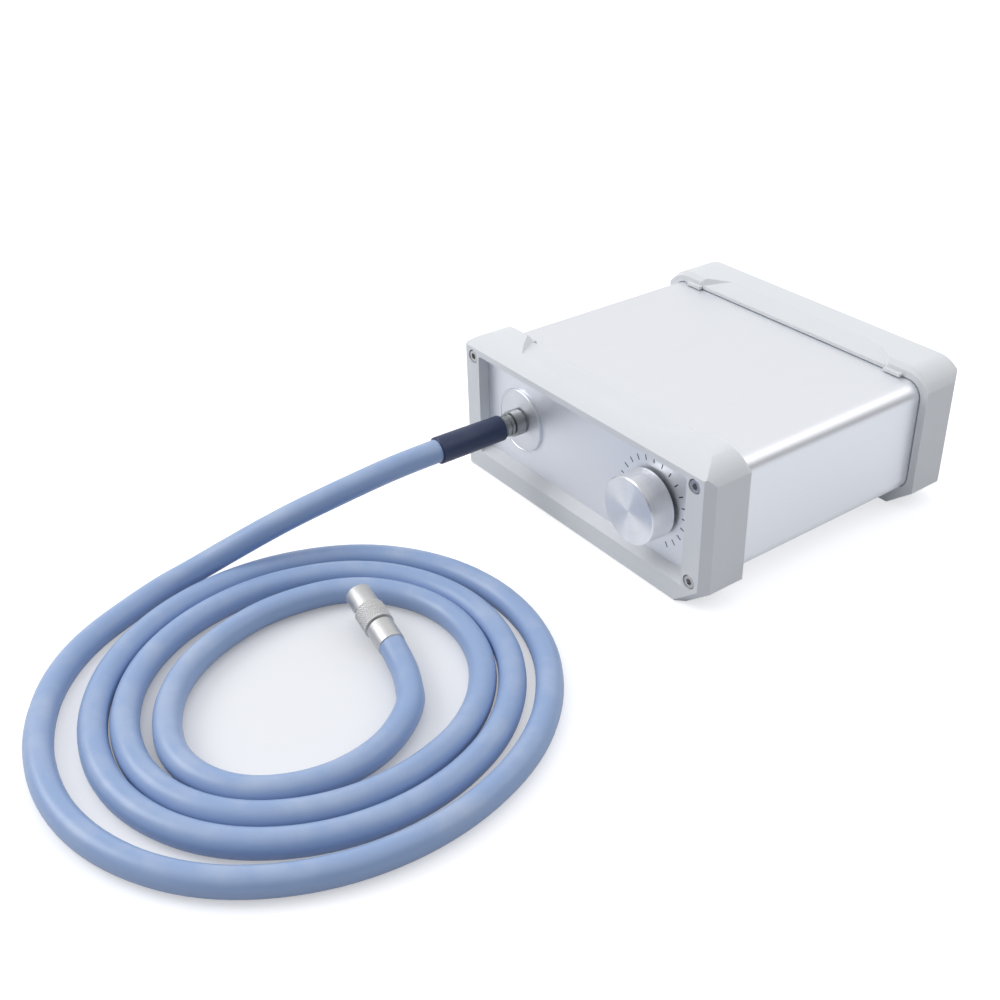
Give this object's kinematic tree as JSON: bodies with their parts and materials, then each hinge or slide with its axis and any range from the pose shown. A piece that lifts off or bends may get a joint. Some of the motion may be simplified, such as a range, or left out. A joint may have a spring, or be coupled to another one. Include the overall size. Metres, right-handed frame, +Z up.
{
  "type": "fiber optic illuminator",
  "caption": "Bench lamp case with a recessed front panel, a light port, a brightness knob and a silicone-covered fibre light guide lying in a loose coil.",
  "frame": {"origin": "on the table under the middle of the case, its depth counted from the knob's face to the rear bezel's face", "axes": "+X to the right seen from the front, +Y from the front panel to the rear, +Z up"},
  "size_m": [0.195, 0.382, 0.0654],
  "materials": {
    "bezel_plastic": "light grey, fine satin texture",
    "body_anodised": "clear anodised, fine drawn lines from front to back",
    "panel_anodised": "clear anodised satin with dark printed dial marks",
    "rear_panel_anodised": "clear anodised satin",
    "screw_steel": "zinc-plated socket screws",
    "port_aluminium": "turned and clear anodised",
    "spring_steel": "bright spring steel",
    "black_anodised": "black anodised",
    "optical_glass": "polished",
    "lamp_board": "white solder mask on aluminium",
    "lamp_dome": "yellow phosphor under a clear dome",
    "fan_plastic": "black glass-filled plastic",
    "knob_aluminium": "spun face, fine turned side",
    "shaft_steel": "ground steel",
    "control_case": "plated control case",
    "nut_plating": "nickel-plated",
    "circuit_board": "green solder mask",
    "standoff_brass": "turned brass",
    "ferrite": "dark ferrite",
    "capacitor_can": "bare can with a scored top",
    "chip_black": "moulded epoxy",
    "terminal_green": "moulded plastic",
    "jack_black": "moulded plastic",
    "switch_black": "moulded plastic",
    "rocker_black": "moulded plastic",
    "plug_steel": "turned steel",
    "boot_rubber": "dark blue-grey, matt",
    "cable_silicone": "translucent light blue silicone, satin",
    "tip_steel": "satin nickel with a knurled band",
    "fibre_glass": "polished bundle end"
  },
  "bodies": {
    "case": {"case_body": "body_anodised", "front_bezel": "bezel_plastic", "rear_bezel": "bezel_plastic", "front_panel": "panel_anodised", "rear_panel": "rear_panel_anodised", "front_screws": "screw_steel", "rear_screws": "screw_steel", "port_bush": "port_aluminium", "port_grip_ring": "spring_steel", "port_nut": "port_aluminium", "lens_tube": "black_anodised", "condenser_lens": "optical_glass", "lens_ring": "black_anodised", "led_board": "lamp_board", "led_emitter": "lamp_dome", "led_screws": "screw_steel", "heat_sink": "black_anodised", "heat_sink_screws": "screw_steel", "fan_frame": "fan_plastic", "fan_screws": "screw_steel", "pot_body": "control_case", "pot_nut": "nut_plating", "pot_washer": "nut_plating", "driver_board": "circuit_board", "board_standoffs": "standoff_brass", "board_screws": "screw_steel", "driver_inductor": "ferrite", "driver_capacitors": "capacitor_can", "driver_chips": "chip_black", "driver_terminals": "terminal_green", "dc_jack": "jack_black", "dc_jack_nut": "nut_plating", "switch_housing": "switch_black"},
    "knob": {"intensity_knob": "knob_aluminium", "knob_set_screw": "screw_steel", "pot_shaft": "shaft_steel"},
    "fan": {"fan_rotor": "fan_plastic"},
    "rocker": {"switch_rocker": "rocker_black"},
    "light_guide": {"plug_ferrule": "plug_steel", "fibre_input_face": "fibre_glass", "plug_boot": "boot_rubber", "guide_lead": "cable_silicone", "guide_coil": "cable_silicone", "guide_tail": "cable_silicone", "tip_sleeve": "tip_steel", "tip_nose": "tip_steel", "fibre_output_face": "fibre_glass"}
  },
  "joints": [
    {"name": "knob_turn", "type": "hinge", "parent": "case", "child": "knob", "pos_m": [0.043, -0.06875, 0.0347], "axis": [0, 1, 0], "range_deg": [0, 300]},
    {"name": "fan_spin", "type": "hinge", "parent": "case", "child": "fan", "pos_m": [-0.0417, 0.06425, 0.03455], "axis": [0, 1, 0], "continuous": true},
    {"name": "switch_tilt", "type": "hinge", "parent": "case", "child": "rocker", "pos_m": [0.048, 0.07035, 0.03455], "axis": [1, 0, 0], "range_deg": [0, 18]},
    {"name": "plug_pull", "type": "slide", "parent": "case", "child": "light_guide", "axis": [0, -1, 0], "range_m": [0, 0.02]}
  ]
}
